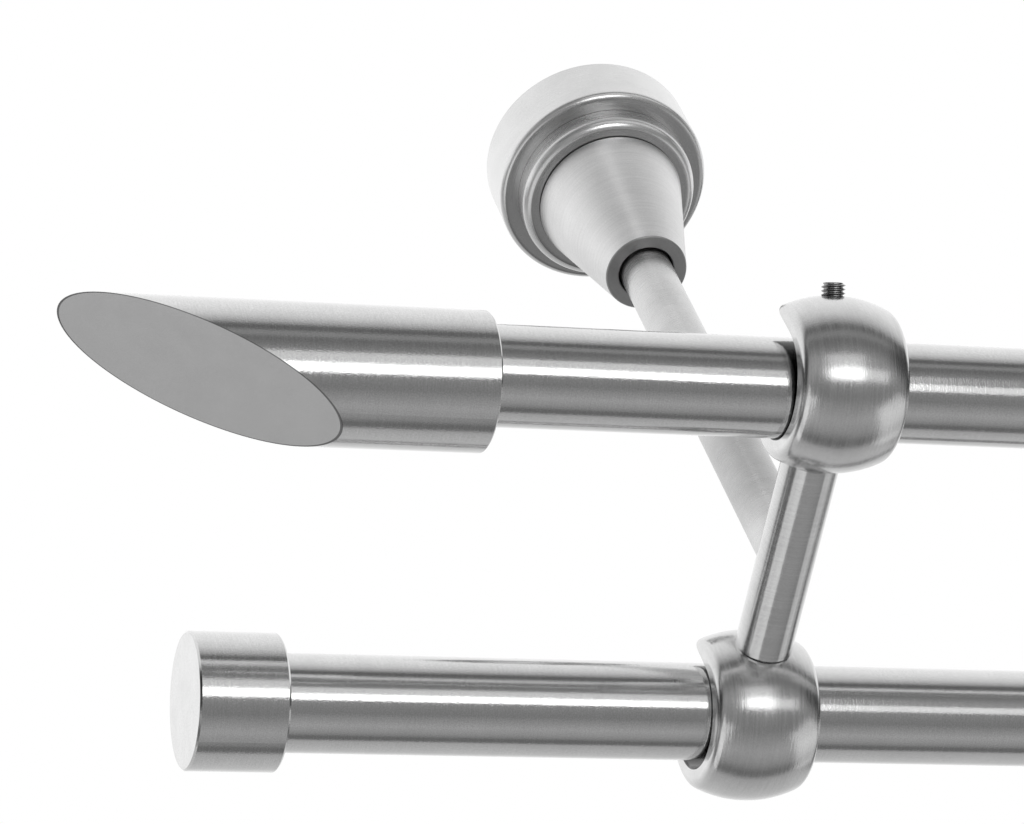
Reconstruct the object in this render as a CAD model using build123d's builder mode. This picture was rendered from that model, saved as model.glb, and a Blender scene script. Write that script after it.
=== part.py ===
"""Double curtain rod hung from a ceiling, with two T-shaped hangers.

Millimetres. X runs along the rods, Y from the room (front) to the window (rear) and Z up.
The origin is the centre of the left hanger's ceiling face.
"""
import os
from math import cos, radians, sin, sqrt

from build123d import *

os.makedirs("parts", exist_ok=True)

# Overall layout
hanger_distance = 1000.0
rod_spacing = 78.0
rod_drop = 168.0

# Rods
rod_diameter = 20.0
rod_wall = 1.0
front_rod_overhang = 97.0
rear_rod_overhang = 115.0

# Clearances
thread_clearance = 0.05
contact_gap = 0.05
slide_clearance = 0.15

# Ceiling plate and the stud that hangs the arm from it
plate_diameter = 40.0
plate_thickness = 3.0
plate_hole_spacing = 27.0
plate_hole_diameter = 4.6
plate_head_diameter = 8.4
boss_diameter = 12.0
boss_height = 8.0
hanger_stud_diameter = 6.0
hanger_stud_length = 24.0
hanger_stud_recess = 1.0

# Rose: a drum with a rounded edge, and a smaller rounded step in front of it
rose_diameter = 48.4
rose_drum_height = 13.5
rose_edge_height = 1.5
rose_step_diameter = 40.4
rose_step_wall = 3.7
rose_step_edge = 2.3
rose_wall = 2.0

# Cone under the rose
cone_base_diameter = 33.2
cone_tip_diameter = 18.4
cone_length = 33.0
cone_tip_edge = 0.2
cone_seam = 0.4
cone_seam_depth = 0.6
cone_bore_clearance = 0.5
cone_screw_diameter = 4.0
cone_screw_length = 5.0
cone_screw_drop = 13.0

# Arm and crossbar
arm_diameter = 11.6
crossbar_diameter = 11.8
crossbar_stud_diameter = 5.0
crossbar_stud_in_arm = 9.0
crossbar_stud_in_bar = 8.5
hole_spare_depth = 0.8
bar_edge = 0.3

# Cradles under the rods, barrels with a slot open to the top
cradle_diameter = 35.2
cradle_face_diameter = 29.6
cradle_width = 22.6
cradle_bore_clearance = 1.2
cradle_edge = 2.4
cradle_lip_edge = 0.5
cradle_seat_diameter = 9.0

# Bolt from inside each cradle into the crossbar, its head sunk below the bore
cradle_bolt_diameter = 5.0
cradle_bolt_head_diameter = 9.0
cradle_bolt_recess = 0.2
cradle_bolt_rim = 0.4
cradle_bolt_cone_height = 2.0
cradle_bolt_in_bar = 12.0

# Grub screw through each cradle
cradle_screw_diameter = 4.8
cradle_screw_length = 11.2
cradle_screw_angle = 33.0

# Slanted end pieces of the front rod
finial_diameter = 27.7
finial_start = 71.4
finial_cut_centre = 127.5
finial_cut_slope = 1.88
finial_roll = 20.0
finial_offset = 1.5
finial_edge = 0.3
finial_screw_length = 5.0
finial_screw_place = 12.0

# End caps of the rear rod
cap_diameter = 27.9
cap_start = 100.3
cap_length = 18.4
cap_edge = 0.4
cap_screw_length = 3.6
cap_screw_place = 7.0

# Small grub screws in the end pieces
end_screw_diameter = 4.0

# Hexagon sockets and end chamfers of the grub screws
socket_share = 0.5
socket_depth = 2.0
screw_chamfer = 0.4

# Worked-out places
rod_radius = rod_diameter / 2
rod_z = -rod_drop
front_rod_y = -rod_spacing / 2
rear_rod_y = rod_spacing / 2
arm_top = -plate_thickness - boss_height
rose_face = -(rose_drum_height + rose_edge_height + rose_step_wall + rose_step_edge)
cone_bore = arm_diameter + 2 * cone_bore_clearance
cradle_bore = rod_diameter + 2 * cradle_bore_clearance
cradle_half_width = cradle_width / 2
cradle_seat_radius = sqrt((cradle_diameter / 2) ** 2 - (cradle_seat_diameter / 2) ** 2)
rod_lean = cradle_bore_clearance - contact_gap
bar_z = rod_z + rod_lean * sin(radians(cradle_screw_angle))
cradle_centre_offset = rod_spacing / 2 + rod_lean * cos(radians(cradle_screw_angle))
crossbar_half = cradle_centre_offset - cradle_seat_radius
cradle_bolt_top = cradle_bore / 2 + cradle_bolt_recess
hangers = {"left": 0.0, "right": hanger_distance}
rod_ends = {"left": (0.0, -1), "right": (hanger_distance, 1)}
window_side = Vector(0, 1, 0)


def save(block, name):
    block.part.label = name
    export_step(block.part, f"parts/{name}.step")


def upright(x):
    """Sketch plane through a hanger's axis, local X along the rods and local Y up."""
    return Plane(origin=(x, 0, 0), x_dir=(1, 0, 0), z_dir=(0, -1, 0))


def hanger_axis(x):
    return Axis((x, 0, 0), (0, 0, 1))


def across(point, direction):
    """Sketch plane at a point, facing along a direction."""
    return Plane(origin=point, z_dir=direction)


def drill(point, direction, diameter, depth):
    """Round hole from a point along a direction, in the part being built."""
    with BuildSketch(across(point, direction)) as hole:
        Circle(diameter / 2)
    extrude(hole.sketch, amount=depth, mode=Mode.SUBTRACT)


def save_grub_screw(name, tip, direction, diameter, length):
    """Headless screw from its tip outwards, with a hexagon socket in its outer end."""
    with BuildPart() as screw:
        with BuildSketch(across(tip, direction)):
            Circle(diameter / 2)
        extrude(amount=length)
        chamfer(screw.edges().filter_by(GeomType.CIRCLE), length=screw_chamfer)
        with BuildSketch(across(tip + direction * length, -direction)):
            RegularPolygon(radius=diameter * socket_share / 2, side_count=6, major_radius=False)
        extrude(amount=socket_depth, mode=Mode.SUBTRACT)
    save(screw, name)


def save_stud(name, start, direction, diameter, length):
    """Plain threaded stud, its ends chamfered."""
    with BuildPart() as stud:
        with BuildSketch(across(start, direction)):
            Circle(diameter / 2)
        extrude(amount=length)
        chamfer(stud.edges().filter_by(GeomType.CIRCLE), length=screw_chamfer)
    save(stud, name)


def save_ceiling_plate(side, x):
    with BuildPart() as ceiling_plate:
        with BuildSketch(Plane.XY.offset(-plate_thickness)):
            with Locations((x, 0)):
                Circle(plate_diameter / 2)
        extrude(amount=plate_thickness)
        with BuildSketch(Plane.XY.offset(-plate_thickness)):
            with Locations((x, 0)):
                Circle(boss_diameter / 2)
        extrude(amount=-boss_height)
        drill(
            (x, 0, arm_top), Vector(0, 0, 1), hanger_stud_diameter + 2 * thread_clearance,
            plate_thickness + boss_height - hanger_stud_recess + thread_clearance)
        with Locations(Plane(origin=(x, 0, -plate_thickness), z_dir=(0, 0, -1))):
            with GridLocations(plate_hole_spacing, 1, 2, 1):
                CounterSinkHole(plate_hole_diameter / 2, plate_head_diameter / 2)
    save(ceiling_plate, f"ceiling_plate_{side}")


def save_rose(side, x):
    drum_radius = rose_diameter / 2
    step_radius = rose_step_diameter / 2
    step_top = -(rose_drum_height + rose_edge_height)
    step_foot = step_top - rose_step_wall
    inner_step = step_radius - rose_wall
    inner_floor = rose_face + rose_wall
    with BuildPart() as rose:
        with BuildSketch(upright(x)):
            with BuildLine():
                Line((0, 0), (drum_radius, 0))
                Line((drum_radius, 0), (drum_radius, -rose_drum_height))
                TangentArc(
                    (drum_radius, -rose_drum_height), (drum_radius - rose_edge_height, step_top), tangent=(0, -1))
                Line((drum_radius - rose_edge_height, step_top), (step_radius, step_top))
                Line((step_radius, step_top), (step_radius, step_foot))
                TangentArc(
                    (step_radius, step_foot), (step_radius - rose_step_edge, rose_face), tangent=(0, -1))
                Line((step_radius - rose_step_edge, rose_face), (0, rose_face))
                Line((0, rose_face), (0, 0))
            make_face()
            with BuildLine():
                Polyline(
                    (0, 0), (drum_radius - rose_wall, 0), (drum_radius - rose_wall, step_top + rose_wall),
                    (inner_step, step_top + rose_wall), (inner_step, inner_floor + rose_step_edge),
                    (inner_step - rose_step_edge, inner_floor), (0, inner_floor), close=True)
            make_face(mode=Mode.SUBTRACT)
        revolve(axis=hanger_axis(x))
        drill((x, 0, 0), Vector(0, 0, -1), cone_bore, -2 * rose_face)
    save(rose, f"rose_{side}")


def save_cone(side, x):
    base_radius = cone_base_diameter / 2
    tip_radius = cone_tip_diameter / 2
    bore_radius = cone_bore / 2
    base = rose_face - cone_seam
    tip = rose_face - cone_length
    screw_z = rose_face - cone_screw_drop
    with BuildPart() as cone:
        with BuildSketch(upright(x)):
            with BuildLine():
                Polyline(
                    (bore_radius, rose_face), (base_radius - cone_seam_depth, rose_face),
                    (base_radius - cone_seam_depth, base), (base_radius, base), (tip_radius, tip),
                    (bore_radius, tip), close=True)
            make_face()
        revolve(axis=hanger_axis(x))
        chamfer(cone.edges().filter_by(GeomType.CIRCLE).group_by(Axis.Z)[0], length=cone_tip_edge)
        drill((x, 0, screw_z), window_side, cone_screw_diameter + 2 * thread_clearance, base_radius)
    save(cone, f"cone_{side}")
    tip_point = Vector(x, arm_diameter / 2 + contact_gap, screw_z)
    save_grub_screw(f"cone_screw_{side}", tip_point, window_side, cone_screw_diameter, cone_screw_length)


def save_arm(side, x):
    stud_depth = hanger_stud_recess + hanger_stud_length + arm_top + hole_spare_depth
    seat_z = bar_z + crossbar_diameter / 2
    with BuildPart() as arm:
        with BuildSketch(across((x, 0, arm_top), (0, 0, -1))):
            Circle(arm_diameter / 2)
        extrude(amount=arm_top - bar_z)
        chamfer(arm.edges().filter_by(GeomType.CIRCLE).sort_by(Axis.Z)[-1], length=bar_edge)
        with BuildSketch(across((x, -crossbar_half, bar_z), window_side)):
            Circle(crossbar_diameter / 2)
        extrude(amount=2 * crossbar_half, mode=Mode.SUBTRACT)
        drill((x, 0, arm_top), Vector(0, 0, -1), hanger_stud_diameter + 2 * thread_clearance, stud_depth)
        drill(
            (x, 0, bar_z), Vector(0, 0, 1), crossbar_stud_diameter + 2 * thread_clearance,
            crossbar_diameter / 2 + crossbar_stud_in_arm + hole_spare_depth)
    save(arm, f"arm_{side}")
    save_stud(
        f"hanger_stud_{side}", (x, 0, -hanger_stud_recess), (0, 0, -1), hanger_stud_diameter, hanger_stud_length)
    save_stud(
        f"crossbar_stud_{side}", (x, 0, seat_z + crossbar_stud_in_arm), (0, 0, -1), crossbar_stud_diameter,
        crossbar_stud_in_arm + crossbar_stud_in_bar)


def save_crossbar(side, x):
    with BuildPart() as crossbar:
        with BuildSketch(across((x, -crossbar_half, bar_z), window_side)):
            Circle(crossbar_diameter / 2)
        extrude(amount=2 * crossbar_half)
        chamfer(crossbar.edges().filter_by(GeomType.CIRCLE), length=bar_edge)
        drill(
            (x, 0, bar_z + crossbar_diameter), Vector(0, 0, -1), crossbar_stud_diameter + 2 * thread_clearance,
            crossbar_diameter / 2 + crossbar_stud_in_bar + thread_clearance)
        for direction in (window_side, -window_side):
            drill(
                Vector(x, 0, bar_z) + direction * crossbar_half, -direction,
                cradle_bolt_diameter + 2 * thread_clearance, cradle_bolt_in_bar + hole_spare_depth)
    save(crossbar, f"crossbar_{side}")


def save_cradle(name, side, x, outward):
    """Cradle, its bolt and its grub screw; outward points from the crossbar to the cradle."""
    centre = Vector(x, 0, bar_z) + outward * cradle_centre_offset
    inward = -outward
    tilt = radians(cradle_screw_angle)
    screw_way = outward * cos(tilt) + Vector(0, 0, 1) * sin(tilt)
    bolt_radius = cradle_bolt_diameter / 2
    head_radius = cradle_bolt_head_diameter / 2
    bolt_neck = cradle_bolt_top + cradle_bolt_rim
    bolt_cone_end = bolt_neck + cradle_bolt_cone_height
    bolt_end = cradle_seat_radius + cradle_bolt_in_bar
    section = Plane(origin=centre, x_dir=(1, 0, 0), z_dir=(0, -1, 0))
    bolt_section = Plane(origin=centre, x_dir=inward, z_dir=(1, 0, 0))
    slot_section = Plane(origin=centre, x_dir=(0, 1, 0), z_dir=(1, 0, 0))

    with BuildPart() as cradle:
        with BuildSketch(section) as half_section:
            with BuildLine():
                ThreePointArc(
                    (-cradle_half_width, cradle_face_diameter / 2), (0, cradle_diameter / 2),
                    (cradle_half_width, cradle_face_diameter / 2))
                Polyline(
                    (cradle_half_width, cradle_face_diameter / 2), (cradle_half_width, cradle_bore / 2),
                    (-cradle_half_width, cradle_bore / 2), (-cradle_half_width, cradle_face_diameter / 2))
            make_face()
            fillet(half_section.vertices().group_by(Axis.Y)[-1], radius=cradle_edge)
        revolve(axis=Axis(centre, (1, 0, 0)))
        with BuildSketch(slot_section):
            Rectangle(cradle_bore, cradle_diameter, align=(Align.CENTER, Align.MIN))
        extrude(amount=cradle_width, both=True, mode=Mode.SUBTRACT)
        slot_faces = cradle.faces().filter_by(Axis.Y) + cradle.faces().filter_by(GeomType.CYLINDER)
        fillet(slot_faces.edges().filter_by(Axis.X, reverse=True), radius=cradle_lip_edge)
        split(bisect_by=across(centre + inward * cradle_seat_radius, inward), keep=Keep.BOTTOM)
        drill(centre, inward, cradle_bolt_diameter + 2 * slide_clearance, cradle_diameter)
        drill(centre, screw_way, cradle_screw_diameter + 2 * thread_clearance, cradle_diameter)
        with BuildSketch(bolt_section):
            with BuildLine():
                Polyline(
                    (0, 0), (0, head_radius + slide_clearance), (bolt_neck, head_radius + slide_clearance),
                    (bolt_cone_end, bolt_radius + slide_clearance), (bolt_cone_end, 0), close=True)
            make_face()
        revolve(axis=Axis(centre, inward), mode=Mode.SUBTRACT)
    save(cradle, f"{name}_cradle_{side}")

    with BuildPart() as cradle_bolt:
        with BuildSketch(bolt_section):
            with BuildLine():
                Polyline(
                    (cradle_bolt_top, 0), (cradle_bolt_top, head_radius), (bolt_neck, head_radius),
                    (bolt_cone_end, bolt_radius), (bolt_end, bolt_radius), (bolt_end, 0), close=True)
            make_face()
        revolve(axis=Axis(centre, inward))
    save(cradle_bolt, f"{name}_cradle_bolt_{side}")

    screw_tip = centre + screw_way * (rod_radius - rod_lean + contact_gap)
    save_grub_screw(
        f"{name}_cradle_screw_{side}", screw_tip, screw_way, cradle_screw_diameter, cradle_screw_length)


def save_rod(name, y, overhang):
    length = hanger_distance + 2 * overhang
    with BuildPart() as rod:
        with BuildSketch(across((-overhang, y, rod_z), (1, 0, 0))):
            Circle(rod_radius)
            Circle(rod_radius - rod_wall, mode=Mode.SUBTRACT)
        extrude(amount=length)
    save(rod, f"{name}_rod")


def save_finial(side, hanger_x, outward):
    """Slanted end piece; its longest side lies towards the ceiling, rolled a little to the room."""
    radius = finial_diameter / 2
    along = Vector(outward, 0, 0)
    start = Vector(hanger_x + outward * finial_start, front_rod_y + finial_offset, rod_z)
    bore_depth = front_rod_overhang - finial_start + contact_gap
    longest_side = Vector(0, -sin(radians(finial_roll)), cos(radians(finial_roll)))
    length = finial_cut_centre - finial_start + finial_cut_slope * radius + 1
    cut_face = Plane(
        origin=start + along * (finial_cut_centre - finial_start),
        x_dir=longest_side.cross(along), z_dir=along - longest_side * finial_cut_slope)
    screw_tip = Vector(start.X, front_rod_y + rod_radius + contact_gap, rod_z) + along * finial_screw_place
    with BuildPart() as finial:
        with BuildSketch(across(start, along)):
            Circle(radius)
        extrude(amount=length)
        split(bisect_by=cut_face, keep=Keep.BOTTOM)
        chamfer(finial.edges().filter_by(GeomType.CIRCLE), length=finial_edge)
        drill(start, along, rod_diameter + 2 * finial_offset + 2 * contact_gap, bore_depth)
        drill(screw_tip, window_side, end_screw_diameter + 2 * thread_clearance, finial_diameter)
    save(finial, f"finial_{side}")
    save_grub_screw(f"finial_screw_{side}", screw_tip, window_side, end_screw_diameter, finial_screw_length)


def save_cap(side, hanger_x, outward):
    along = Vector(outward, 0, 0)
    start = Vector(hanger_x + outward * cap_start, rear_rod_y, rod_z)
    bore_depth = rear_rod_overhang - cap_start + contact_gap
    screw_tip = start + along * cap_screw_place + window_side * (rod_radius + contact_gap)
    with BuildPart() as cap:
        with BuildSketch(across(start, along)):
            Circle(cap_diameter / 2)
        extrude(amount=cap_length)
        chamfer(cap.edges().filter_by(GeomType.CIRCLE), length=cap_edge)
        drill(start, along, rod_diameter + 2 * slide_clearance, bore_depth)
        drill(screw_tip, window_side, end_screw_diameter + 2 * thread_clearance, cap_diameter)
    save(cap, f"cap_{side}")
    save_grub_screw(f"cap_screw_{side}", screw_tip, window_side, end_screw_diameter, cap_screw_length)


for side, hanger_x in hangers.items():
    save_ceiling_plate(side, hanger_x)
    save_rose(side, hanger_x)
    save_cone(side, hanger_x)
    save_arm(side, hanger_x)
    save_crossbar(side, hanger_x)
    save_cradle("front", side, hanger_x, -window_side)
    save_cradle("rear", side, hanger_x, window_side)

save_rod("front", front_rod_y, front_rod_overhang)
save_rod("rear", rear_rod_y, rear_rod_overhang)
for side, (hanger_x, outward) in rod_ends.items():
    save_finial(side, hanger_x, outward)
    save_cap(side, hanger_x, outward)
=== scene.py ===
from math import cos, pi, radians, sin

import bmesh
import bpy
from mathutils import Matrix, Vector


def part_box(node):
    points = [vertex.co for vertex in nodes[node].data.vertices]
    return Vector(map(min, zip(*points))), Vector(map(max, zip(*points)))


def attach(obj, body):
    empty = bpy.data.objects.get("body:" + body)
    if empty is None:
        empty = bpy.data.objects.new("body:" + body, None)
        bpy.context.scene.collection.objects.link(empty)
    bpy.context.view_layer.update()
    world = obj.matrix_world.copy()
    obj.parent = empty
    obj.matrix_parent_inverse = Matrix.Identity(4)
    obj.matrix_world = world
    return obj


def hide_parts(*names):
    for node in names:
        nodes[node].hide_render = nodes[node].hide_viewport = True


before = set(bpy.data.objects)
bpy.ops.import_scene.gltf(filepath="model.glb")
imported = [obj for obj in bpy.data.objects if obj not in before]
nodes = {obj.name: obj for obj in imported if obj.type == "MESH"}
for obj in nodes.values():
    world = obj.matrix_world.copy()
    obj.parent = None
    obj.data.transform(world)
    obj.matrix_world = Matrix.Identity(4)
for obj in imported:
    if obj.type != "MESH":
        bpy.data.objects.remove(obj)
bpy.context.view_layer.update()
scene = bpy.context.scene
scene.view_settings.view_transform = "Standard"
print("frame loaded:", len(nodes), "nodes")


# camera, seen from the room and from below
photoView = {
    "place": (-0.316854, -0.462479, -0.884915),
    "right": (0.95652, -0.18414, -0.22620),
    "down": (0.03937, 0.84992, -0.52544),
    "lens": 158.1,
    "sensor": 36.0,
    "nearest": 0.02,
    "farthest": 60.0,
}


def makeCamera():
    right = Vector(photoView["right"]).normalized()
    up = -Vector(photoView["down"])
    up = (up - right * up.dot(right)).normalized()
    back = right.cross(up)
    cameraData = bpy.data.cameras.new("photoCamera")
    cameraData.lens = photoView["lens"]
    cameraData.sensor_width = photoView["sensor"]
    cameraData.clip_start = photoView["nearest"]
    cameraData.clip_end = photoView["farthest"]
    camera = bpy.data.objects.new("photoCamera", cameraData)
    turn = Matrix((right, up, back)).transposed().to_4x4()
    camera.matrix_world = Matrix.Translation(photoView["place"]) @ turn
    scene.collection.objects.link(camera)
    scene.camera = camera


makeCamera()
print("camera placed")


# node helpers
noiseRange = (0.25, 0.75)   # where nearly all of a noise lies


def calc(tree, operation, *values):
    node = tree.nodes.new("ShaderNodeMath")
    node.operation = operation
    for index, value in enumerate(values):
        if isinstance(value, bpy.types.NodeSocket):
            tree.links.new(value, node.inputs[index])
        else:
            node.inputs[index].default_value = value
    return node.outputs[0]


def lengthOf(tree, across, up):
    squares = [calc(tree, "MULTIPLY", side, side) for side in (across, up)]
    return calc(tree, "SQRT", calc(tree, "ADD", *squares))


def joinVector(tree, *values):
    node = tree.nodes.new("ShaderNodeCombineXYZ")
    for socket, value in zip(node.inputs, values):
        tree.links.new(value, socket)
    return node.outputs[0]


def mixShaders(tree, share, first, second):
    node = tree.nodes.new("ShaderNodeMixShader")
    for socket, value in zip(node.inputs, (share, first, second)):
        tree.links.new(value, socket)
    return node.outputs[0]


def noise(tree, vector, scale, detail):
    node = tree.nodes.new("ShaderNodeTexNoise")
    node.inputs["Scale"].default_value = scale
    node.inputs["Detail"].default_value = detail
    tree.links.new(vector, node.inputs["Vector"])
    return node.outputs[0]


def remap(tree, value, start, end, low=0.0, high=1.0):   # low at start, high at end, held beyond both
    node = tree.nodes.new("ShaderNodeMapRange")
    for key, number in zip(("From Min", "From Max", "To Min", "To Max"), (start, end, low, high)):
        node.inputs[key].default_value = number
    tree.links.new(value, node.inputs["Value"])
    return node.outputs[0]


def vary(tree, value, share):   # a noise as a factor about one
    return remap(tree, value, *noiseRange, 1 - share, 1 + share)


# studio: a pale floor far below, a banded soft surround, and lamps
studio = {
    "floorHeight": -2.3,
    "floorSize": 60.0,
    "floorMiddle": 0.5,   # along the rods
    "floorColour": (0.94, 0.94, 0.94, 1),
    "floorRoughness": 0.9,
    "facing": (0.0, -0.516, -0.857),   # from the rods towards the viewer
    "above": (0.0, -0.857, 0.516),     # square to it and to the rods
    "bands": [   # angle round the rods from facing, brightness
        (-180, 1.10), (-140, 0.66), (-118, 0.58), (-103, 0.52), (-91, 0.46), (-87, 0.18), (-77, 0.17),
        (-72, 0.27), (-62, 0.36), (-47, 0.43), (-30, 0.33), (-17, 0.24), (-4, 0.26), (20, 0.34), (34, 0.36),
        (45, 0.26), (55, 0.19), (61, 0.17), (66, 0.30), (72, 0.30), (76, 0.14), (83, 0.15), (90, 0.46),
        (104, 0.78), (124, 0.98), (150, 1.05)],
    "sideShade": 0.8,   # how much darker the far left and right are
    "sideStart": (0.70, 0.86),    # along the rods, from no shade to all of it
    "sideHeight": (0.36, 0.22),   # the same, down to the level of the rods
    "sideGap": 0.2,               # towards the window, a gap in the shade
    "sideGapEdge": (0.08, 0.22),
}


def bandColour(tree, direction):
    dots = []
    for key in ("above", "facing"):
        dot = tree.nodes.new("ShaderNodeVectorMath")
        dot.operation = "DOT_PRODUCT"
        dot.inputs[1].default_value = studio[key]
        tree.links.new(direction, dot.inputs[0])
        dots.append(dot.outputs["Value"])
    ramp = tree.nodes.new("ShaderNodeValToRGB")
    stops = ramp.color_ramp.elements
    stops.remove(stops[-1])
    for degrees, level in studio["bands"]:
        stop = stops[0] if degrees == -180 else stops.new((degrees + 180) / 360)
        stop.color = (level, level, level, 1)
    stops.new(1.0).color = stops[0].color   # back to where it started
    angle = calc(tree, "ARCTAN2", *dots)
    tree.links.new(calc(tree, "MULTIPLY_ADD", angle, 0.5 / pi, 0.5), ramp.inputs["Fac"])
    return ramp.outputs["Color"]


def sideStrength(tree, direction):
    parts = tree.nodes.new("ShaderNodeSeparateXYZ")
    tree.links.new(direction, parts.inputs[0])
    along, inwards, upwards = parts.outputs
    aside = remap(tree, calc(tree, "ABSOLUTE", along), *studio["sideStart"])
    level = remap(tree, calc(tree, "ABSOLUTE", upwards), *studio["sideHeight"])
    fromGap = calc(tree, "ABSOLUTE", calc(tree, "SUBTRACT", inwards, studio["sideGap"]))
    gap = remap(tree, fromGap, *studio["sideGapEdge"])
    shade = calc(tree, "MULTIPLY", calc(tree, "MULTIPLY", aside, level),
                 calc(tree, "MULTIPLY", gap, studio["sideShade"]))
    return calc(tree, "SUBTRACT", 1.0, shade)


def makeWorld():
    world = bpy.data.worlds.new("studioSurround")
    world.use_nodes = True
    tree = world.node_tree
    tree.nodes.clear()
    link = tree.links.new
    direction = tree.nodes.new("ShaderNodeTexCoord").outputs["Generated"]
    surround = tree.nodes.new("ShaderNodeBackground")
    link(bandColour(tree, direction), surround.inputs["Color"])
    link(sideStrength(tree, direction), surround.inputs["Strength"])
    white = tree.nodes.new("ShaderNodeBackground")
    white.inputs["Color"].default_value = (1, 1, 1, 1)
    seen = tree.nodes.new("ShaderNodeLightPath").outputs["Is Camera Ray"]
    output = tree.nodes.new("ShaderNodeOutputWorld")
    link(mixShaders(tree, seen, surround.outputs[0], white.outputs[0]), output.inputs["Surface"])
    scene.world = world


def makeFloor():
    floorMesh = bpy.data.meshes.new("floor")
    bm = bmesh.new()
    bmesh.ops.create_grid(bm, x_segments=1, y_segments=1, size=studio["floorSize"] / 2)
    bmesh.ops.translate(bm, verts=bm.verts, vec=(studio["floorMiddle"], 0, studio["floorHeight"]))
    bm.to_mesh(floorMesh)
    bm.free()
    floor = bpy.data.objects.new("floor", floorMesh)
    scene.collection.objects.link(floor)
    floor.visible_glossy = False
    paint = bpy.data.materials.new("paleFloor")
    paint.use_nodes = True
    tree = paint.node_tree
    shader = tree.nodes["Principled BSDF"]
    shader.inputs["Base Color"].default_value = studio["floorColour"]
    shader.inputs["Roughness"].default_value = studio["floorRoughness"]
    underside = tree.nodes.new("ShaderNodeNewGeometry").outputs["Backfacing"]
    clear = tree.nodes.new("ShaderNodeBsdfTransparent").outputs[0]   # for a look from far below
    mixed = mixShaders(tree, underside, shader.outputs[0], clear)
    tree.links.new(mixed, tree.nodes["Material Output"].inputs["Surface"])
    floorMesh.materials.append(paint)


hanging = ("rose", "cone", "arm")
lamps = {   # offset from the near cradle, width and height, brightness seen in metal
    "softbox": {"offset": (0.05, -0.353, -0.354), "size": (0.28, 0.132), "level": 1.4, "skip": "rose"},
    "softboxSpill": {"offset": (0.15, -0.353, -0.354), "size": (0.62, 0.132), "level": 0.6, "skip": "rose"},
    "softboxTop": {"offset": (0.05, -0.438, -0.242), "size": (0.32, 0.158), "level": 0.42, "skip": "rose"},
    "leftFill": {"offset": (-0.355, 0.17, -0.355), "size": (0.33, 0.74), "level": 0.54},
    "rightFill": {"offset": (0.50, 0.18, -0.29), "size": (0.33, 0.55), "level": 0.42},
    "strip": {"offset": (-0.18, -0.96, 0.62), "size": (0.05, 0.7), "level": 2.6, "only": ("cone", "arm")},
    "roseGlow": {"offset": (0.024, -0.429, -0.222), "size": (0.26, 0.20), "level": 3.4, "only": "rose"},
    "roomFill": {"offset": (0.7, -1.8, 0.12), "size": (3.2, 0.8), "level": 0.58, "only": hanging},
    "leftWall": {"offset": (-1.6, 0.0, 0.12), "size": (2.0, 0.8), "level": 0.40, "only": hanging},
    "rightWall": {"offset": (2.6, 0.0, 0.12), "size": (2.0, 0.8), "level": 0.57, "only": hanging},
}
lampAim = Vector((0.0, -0.039, -0.168))   # the near cradle
alongRods = 0.95   # a lamp that shines along the rods has its width across them


def makeLamp(name, lamp):
    offset = Vector(lamp["offset"])
    back = offset.normalized()
    across = Vector((1, 0, 0)) if abs(back.x) < alongRods else Vector((0, 1, 0))
    across = (across - back * across.dot(back)).normalized()
    data = bpy.data.lights.new(name, "AREA")
    data.shape = "RECTANGLE"
    data.size, data.size_y = lamp["size"]
    data.energy = lamp["level"] * pi * data.size * data.size_y
    holder = bpy.data.objects.new(name, data)
    turn = Matrix((across, back.cross(across), back)).transposed().to_4x4()
    holder.matrix_world = Matrix.Translation(lampAim + offset) @ turn
    holder.visible_camera = False
    scene.collection.objects.link(holder)
    chosen = lamp.get("only") or lamp.get("skip")   # the metal that this lamp is for, or is not
    if chosen:
        lit = bpy.data.collections.new(name + "Lit")
        for nodeName in nodes:
            if nodeName.startswith(chosen):
                lit.objects.link(nodes[nodeName])
        for member in lit.collection_objects:
            member.light_linking.link_state = "INCLUDE" if "only" in lamp else "EXCLUDE"
        holder.light_linking.receiver_collection = lit


makeWorld()
makeFloor()
for lampName, lamp in lamps.items():
    makeLamp(lampName, lamp)
print("studio ready")


# places where a finish changes or where shade and light are painted, 1 inside and 0 outside
hangerGap = 1.0   # from one hanger to the other
cradleSlot = {"across": 0.03996, "drop": 0.16737, "radius": 0.0115}


def slotShade(tree, x, y, z):   # painted shade on the slot's walls, which hardly see the room
    across = calc(tree, "SUBTRACT", calc(tree, "ABSOLUTE", y), cradleSlot["across"])
    below = calc(tree, "MINIMUM", calc(tree, "ADD", z, cradleSlot["drop"]), 0.0)
    return calc(tree, "LESS_THAN", lengthOf(tree, across, below), cradleSlot["radius"])


roseHeights = {"rings": (-0.015, -0.021), "ringReach": 0.0001, "step": -0.01695, "stepReach": 0.00175,
               "edges": -0.0136}


def roseFlats(tree, x, y, z):   # the two turned rings that face down, painted darker as painted shade
    rings = [calc(tree, "COMPARE", z, height, roseHeights["ringReach"]) for height in roseHeights["rings"]]
    return calc(tree, "MAXIMUM", *rings)


def roseStep(tree, x, y, z):   # the side of the small step, painted paler as a painted reflection of the bright ceiling
    return calc(tree, "COMPARE", z, roseHeights["step"], roseHeights["stepReach"])


def roseEdges(tree, x, y, z):   # that side and both rounded edges, left dull by the turning
    below = calc(tree, "LESS_THAN", z, roseHeights["edges"])
    return calc(tree, "SUBTRACT", below, roseFlats(tree, x, y, z))


coneHeights = {"mouth": -0.0537, "paler": (-0.042, -0.024)}


def coneMouth(tree, x, y, z):   # the ring round the arm, painted darker as painted shade
    return calc(tree, "LESS_THAN", z, coneHeights["mouth"])


def coneTop(tree, x, y, z):   # painted light: paler towards the rose, to offset the shade the rose casts there
    return remap(tree, z, *coneHeights["paler"])


armShadeBand = {"drop": 0.139, "fade": (0.024, 0.010)}


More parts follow.
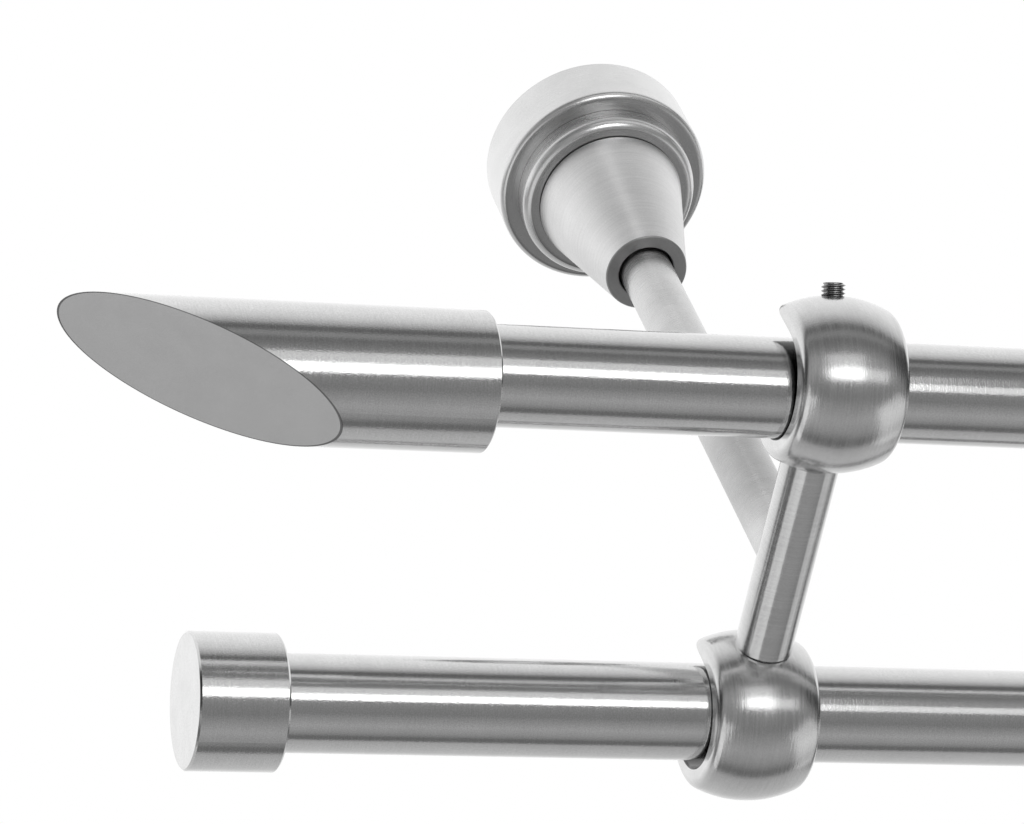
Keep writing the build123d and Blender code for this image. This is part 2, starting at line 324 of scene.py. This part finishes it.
def armShade(tree, x, y, z):   # painted shade: darker in a band part way down the arm, where it would reflect the rods
    away = calc(tree, "ABSOLUTE", calc(tree, "ADD", z, armShadeBand["drop"]))
    return remap(tree, away, *armShadeBand["fade"])


finialCut = {"leastLean": 0.2, "mostLean": 0.9, "faceReach": 0.00006, "rim": 0.00020}


def leaningArea(polygon):
    return polygon.area * (finialCut["leastLean"] < abs(polygon.normal.x) < finialCut["mostLean"])


slant = max(nodes["finial_left"].data.polygons, key=leaningArea)   # of its faces, the cut alone leans
slantPlane = {"normal": slant.normal.copy(), "reach": slant.normal.dot(slant.center)}
finialLow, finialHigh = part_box("finial_left")
finialAxis = (finialLow + finialHigh) / 2
finialRadius = (finialHigh.z - finialLow.z) / 2


def slantFace(tree, x, y, z):   # the same for both ends, folded about the middle
    fromMiddle = calc(tree, "ABSOLUTE", calc(tree, "SUBTRACT", x, hangerGap / 2))
    folded = calc(tree, "SUBTRACT", hangerGap / 2, fromMiddle)
    side, depth, rise = slantPlane["normal"]
    reach = calc(tree, "MULTIPLY_ADD", y, depth, calc(tree, "MULTIPLY", z, rise))
    reach = calc(tree, "MULTIPLY_ADD", folded, side, reach)
    return calc(tree, "COMPARE", reach, slantPlane["reach"], finialCut["faceReach"])


def darkSlantRim(tree, x, y, z):   # painted shade: a fine dark line round the cut face, standing in for a rounded edge that reflects dark surroundings
    across = calc(tree, "SUBTRACT", y, finialAxis.y)
    up = calc(tree, "SUBTRACT", z, finialAxis.z)
    paintedRim = calc(tree, "GREATER_THAN", lengthOf(tree, across, up), finialRadius - finialCut["rim"])
    return calc(tree, "MULTIPLY", slantFace(tree, x, y, z), paintedRim)


# metal finishes: grain runs round the axis named, as fine grooves, a light mottle and pits
finishes = {   # fine and slow are noise per metre across and along the grain, depths are in metres
    "rodSatin": {
        "round": "X", "grey": 0.70, "rough": (0.08, 0.15), "fine": 4200.0, "slow": 260.0, "groove": 0.000010,
        "streak": 0.03, "mottle": 0.03, "grain": 0.07, "pit": 0.000011, "scratch": 0.000008},
    "endSatin": {
        "round": "X", "grey": 0.70, "rough": (0.09, 0.17), "fine": 4200.0, "slow": 260.0, "groove": 0.000012,
        "streak": 0.04, "mottle": 0.03, "grain": 0.07, "pit": 0.000011, "scratch": 0.000008,
        # painted shade: the cut face a little darker, and a dark line painted round its edge
        "shade": [(slantFace, 0.90), (darkSlantRim, 0.35)], "plain": slantFace},
    "cradlePolish": {
        "round": "X", "grey": 0.68, "rough": (0.15, 0.25), "fine": 2300.0, "slow": 120.0, "groove": 0.000016,
        "streak": 0.05, "mottle": 0.06, "grain": 0.05, "pit": 0.000006, "scratch": 0.000008,
        # painted shade: the slot's walls much darker
        "shade": [(slotShade, 0.16)]},
    "barSatin": {
        "round": "Y", "grey": 0.66, "rough": (0.14, 0.2), "fine": 2200.0, "slow": 120.0, "groove": 0.000012,
        "streak": 0.05, "mottle": 0.05, "grain": 0.05, "pit": 0.000006},
    "roseSatin": {
        "round": "Z", "grey": 0.72, "rough": (0.18, 0.28), "fine": 2600.0, "slow": 90.0, "groove": 0.000012,
        "streak": 0.04, "mottle": 0.04, "grain": 0.05, "pit": 0.000006,
        # painted shade and light: the rings that face down darker, the step's side paler as a painted
        # reflection
        "shade": [(roseFlats, 0.62), (roseStep, 1.38)], "dull": (roseEdges, 0.06)},
    "coneSatin": {
        "round": "Z", "grey": 0.79, "rough": (0.38, 0.48), "fine": 1900.0, "slow": 60.0, "groove": 0.000012,
        "streak": 0.06, "mottle": 0.04, "grain": 0.05, "pit": 0.000006,
        # painted shade and light: the ring round the arm darker, the top paler against the rose's shade
        "shade": [(coneMouth, 0.48), (coneTop, 1.08)]},
    "armSatin": {
        "round": "Z", "grey": 0.63, "rough": (0.24, 0.34), "fine": 1500.0, "slow": 60.0, "groove": 0.000012,
        # painted shade: a darker band part way down the arm
        "streak": 0.05, "mottle": 0.08, "grain": 0.06, "pit": 0.000006, "shade": [(armShade, 0.73)]},
    "screwSteel": {
        "round": "X", "grey": 0.34, "rough": (0.2, 0.34), "fine": 2000.0, "slow": 2000.0, "groove": 0.000003,
        "streak": 0.12, "mottle": 0.1},
    "plateZinc": {
        "round": "X", "grey": 0.55, "rough": (0.38, 0.52), "fine": 500.0, "slow": 500.0, "groove": 0.000005,
        "streak": 0.1, "mottle": 0.12},
}
texture = {   # noise per metre, and its detail
    "brushDetail": 2.0,
    "cloud": 160.0,
    "cloudDetail": 4.0,
    "dust": 3400.0,
    "dustDetail": 1.0,
    "scratchAcross": 3600.0,
    "scratchAlong": 1300.0,
    "scratchLean": 0.12,
    "scratchDetail": 1.0,
    "plainBrush": 0.92,   # how much of its brushing and dust a plain face loses
    "plainDust": 0.6,
}


def brushing(tree, finish, x, y, z):
    fine = finish["fine"]
    slow = finish["slow"]
    if finish["round"] == "Z":   # turned about each hanger
        near = calc(tree, "WRAP", x, hangerGap / 2, -hangerGap / 2)
        grain = joinVector(tree, calc(tree, "MULTIPLY", lengthOf(tree, near, y), fine),
                           calc(tree, "MULTIPLY", z, fine),
                           calc(tree, "MULTIPLY", calc(tree, "SUBTRACT", near, y), slow))
    else:
        grain = joinVector(tree, *[calc(tree, "MULTIPLY", value, fine if axis == finish["round"] else slow)
                                   for axis, value in zip("XYZ", (x, y, z))])
    return noise(tree, grain, 1.0, texture["brushDetail"])


def scratches(tree, x, y, z):   # leaning a little off the grain
    leaning = calc(tree, "MULTIPLY_ADD", z, texture["scratchLean"], x)
    across = calc(tree, "MULTIPLY", leaning, texture["scratchAcross"])
    along = [calc(tree, "MULTIPLY", value, texture["scratchAlong"]) for value in (y, z)]
    return noise(tree, joinVector(tree, across, *along), 1.0, texture["scratchDetail"])


def calm(tree, value, where, loss):   # draws a noise towards its middle
    left = calc(tree, "MULTIPLY_ADD", where, -loss, 1.0)
    return calc(tree, "MULTIPLY_ADD", calc(tree, "SUBTRACT", value, 0.5), left, 0.5)


def addBump(tree, height, depth, normal):   # gives back the socket for a bump beneath this one
    bump = tree.nodes.new("ShaderNodeBump")
    bump.inputs["Strength"].default_value = 1.0
    bump.inputs["Distance"].default_value = depth
    tree.links.new(height, bump.inputs["Height"])
    tree.links.new(bump.outputs[0], normal)
    return bump.inputs["Normal"]


def makeFinish(name, finish):
    material = bpy.data.materials.new(name)
    material.use_nodes = True
    tree = material.node_tree
    link = tree.links.new
    shader = tree.nodes["Principled BSDF"]
    shader.inputs["Metallic"].default_value = 1.0
    coords = tree.nodes.new("ShaderNodeTexCoord").outputs["Object"]
    parts = tree.nodes.new("ShaderNodeSeparateXYZ")
    link(coords, parts.inputs[0])
    place = parts.outputs[:]
    brush = brushing(tree, finish, *place)
    if "plain" in finish:
        plain = finish["plain"](tree, *place)
        brush = calm(tree, brush, plain, texture["plainBrush"])
    normal = addBump(tree, brush, finish["groove"], shader.inputs["Normal"])
    cloud = noise(tree, coords, texture["cloud"], texture["cloudDetail"])
    tone = calc(tree, "MULTIPLY", vary(tree, brush, finish["streak"]), vary(tree, cloud, finish["mottle"]))
    if "grain" in finish:
        dust = noise(tree, coords, texture["dust"], texture["dustDetail"])
        if "plain" in finish:
            dust = calm(tree, dust, plain, texture["plainDust"])
        tone = calc(tree, "MULTIPLY", tone, vary(tree, dust, finish["grain"]))
        normal = addBump(tree, dust, finish["pit"], normal)
    if "scratch" in finish:
        addBump(tree, scratches(tree, *place), finish["scratch"], normal)
    tone = calc(tree, "MULTIPLY", tone, finish["grey"])
    # painted shade and light: each mask makes the tone darker or paler
    for where, level in finish.get("shade", []):
        change = calc(tree, "MULTIPLY_ADD", where(tree, *place), level - 1, 1.0)
        tone = calc(tree, "MULTIPLY", tone, change)
    colour = tree.nodes.new("ShaderNodeCombineColor")
    for socket in colour.inputs:
        link(tone, socket)
    link(colour.outputs[0], shader.inputs["Base Color"])
    rough = remap(tree, brush, *noiseRange, *finish["rough"])
    if "dull" in finish:
        where, more = finish["dull"]
        rough = calc(tree, "MULTIPLY_ADD", where(tree, *place), more, rough)
    link(rough, shader.inputs["Roughness"])
    return material


metals = {name: makeFinish(name, finish) for name, finish in finishes.items()}
finishOf = [   # how the nodes' names start, finish
    (("front_cradle_screw", "rear_cradle_screw", "front_cradle_bolt", "rear_cradle_bolt"), "screwSteel"),
    (("cone_screw", "finial_screw", "cap_screw", "hanger_stud", "crossbar_stud"), "screwSteel"),
    ("ceiling_plate", "plateZinc"),
    (("front_cradle", "rear_cradle"), "cradlePolish"),
    ("crossbar", "barSatin"),
    ("rose", "roseSatin"),
    ("cone", "coneSatin"),
    ("arm", "armSatin"),
    (("finial", "cap"), "endSatin"),
    (("front_rod", "rear_rod"), "rodSatin"),
]
for nodeName, node in nodes.items():
    metal = next(finish for starts, finish in finishOf if nodeName.startswith(starts))
    node.data.materials.clear()
    node.data.materials.append(metals[metal])
print("finishes set")


# grub screws with cut threads and hexagon sockets
screwLean = radians(33)
cradleThread = {"diameter": 0.0048, "pitch": 0.0008}
smallThread = {"diameter": 0.004, "pitch": 0.0007}
screws = {   # way out of the screw, thread
    "front_cradle_screw": {"way": (0, -cos(screwLean), sin(screwLean)), "thread": cradleThread},
    "rear_cradle_screw": {"way": (0, cos(screwLean), sin(screwLean)), "thread": cradleThread},
    "cone_screw": {"way": (0, 1, 0), "thread": smallThread},
    "finial_screw": {"way": (0, 1, 0), "thread": smallThread},
    "cap_screw": {"way": (0, 1, 0), "thread": smallThread},
}
screwCut = {
    "inside": 0.999,      # of the CAD screw's radius
    "depth": 0.6,         # of the pitch
    "profile": [(0.0, 0), (0.12, 0), (0.44, 1), (0.56, 1), (0.88, 0), (1.0, 0)],   # pitches, 1 at the crest
    "perTurn": 40,
    "lead": 2,            # turns cut off again at each end
    "weld": 0.01,         # of the pitch
    "trim": 1e-7,
    "runOut": 0.0004,     # at 45 degrees
    "socket": 0.56,       # of the crest's radius
    "socketDepth": 0.002,
    "socketShare": 0.5,   # of the length at most
    "sharp": radians(28),
}


def cutThread(bm, length, crest, pitch):
    radii = (crest - screwCut["depth"] * pitch, crest)
    perTurn = screwCut["perTurn"]
    turns = int(length / pitch) + 2 * screwCut["lead"]
    points = [bm.verts.new((radii[level], 0, (step - screwCut["lead"]) * pitch))
              for step, level in screwCut["profile"]]
    edges = [bm.edges.new(pair) for pair in zip(points, points[1:])]
    bmesh.ops.spin(bm, geom=points + edges, axis=(0, 0, 1), dvec=(0, 0, pitch / perTurn),
                   angle=2 * pi * turns, steps=perTurn * turns)
    bmesh.ops.remove_doubles(bm, verts=bm.verts, dist=pitch * screwCut["weld"])
    for height, up in ((0.0, -1), (length, 1)):
        bmesh.ops.bisect_plane(bm, geom=bm.verts[:] + bm.edges[:] + bm.faces[:], dist=screwCut["trim"],
                               plane_co=(0, 0, height), plane_no=(0, 0, up), clear_outer=True)
    for vert in bm.verts:
        most = crest - screwCut["runOut"] + min(vert.co.z, length - vert.co.z)
        radius = vert.co.xy.length
        if radius > most:
            vert.co.xy = vert.co.xy * (most / radius)


def closeEnds(bm, length, crest):
    rims = [edge for edge in bm.edges if edge.is_boundary]
    tipRim = [edge for edge in rims if max(vert.co.z for vert in edge.verts) < length / 2]
    endRim = [edge for edge in rims if min(vert.co.z for vert in edge.verts) > length / 2]
    bmesh.ops.edgeloop_fill(bm, edges=tipRim)
    reach = crest * screwCut["socket"]
    corners = [bm.verts.new((reach * cos(pi * side / 3), reach * sin(pi * side / 3), length))
               for side in range(6)]
    hexagon = [bm.edges.new((corners[side - 1], corners[side])) for side in range(6)]
    bmesh.ops.bridge_loops(bm, edges=endRim + hexagon)
    sunk = bmesh.ops.extrude_edge_only(bm, edges=hexagon)["geom"]
    floorVerts = [part for part in sunk if isinstance(part, bmesh.types.BMVert)]
    floorEdges = [part for part in sunk if isinstance(part, bmesh.types.BMEdge) and part.is_boundary]
    depth = min(screwCut["socketDepth"], length * screwCut["socketShare"])
    bmesh.ops.translate(bm, verts=floorVerts, vec=(0, 0, -depth))
    bmesh.ops.edgeloop_fill(bm, edges=floorEdges)
    bmesh.ops.recalc_face_normals(bm, faces=bm.faces)


def makeScrew(nodeName, screw):
    way = Vector(screw["way"])
    reach = [vertex.co.dot(way) for vertex in nodes[nodeName].data.vertices]
    length = max(reach) - min(reach)
    lowest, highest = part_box(nodeName)
    tip = (lowest + highest) / 2 - way * (length / 2)
    crest = screw["thread"]["diameter"] / 2 * screwCut["inside"]
    bm = bmesh.new()
    cutThread(bm, length, crest, screw["thread"]["pitch"])
    closeEnds(bm, length, crest)
    turn = Vector((0, 0, 1)).rotation_difference(way).to_matrix().to_4x4()
    bmesh.ops.transform(bm, matrix=Matrix.Translation(tip) @ turn, verts=bm.verts)
    mesh = bpy.data.meshes.new("threaded_" + nodeName)
    bm.to_mesh(mesh)
    bm.free()
    mesh.shade_smooth()
    mesh.set_sharp_from_angle(angle=screwCut["sharp"])
    mesh.materials.append(metals["screwSteel"])
    piece = bpy.data.objects.new("threaded_" + nodeName, mesh)
    scene.collection.objects.link(piece)
    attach(piece, "root")
    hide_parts(nodeName)


for screwName, screw in screws.items():
    for side in ("left", "right"):
        makeScrew(screwName + "_" + side, screw)
print("screws cut")
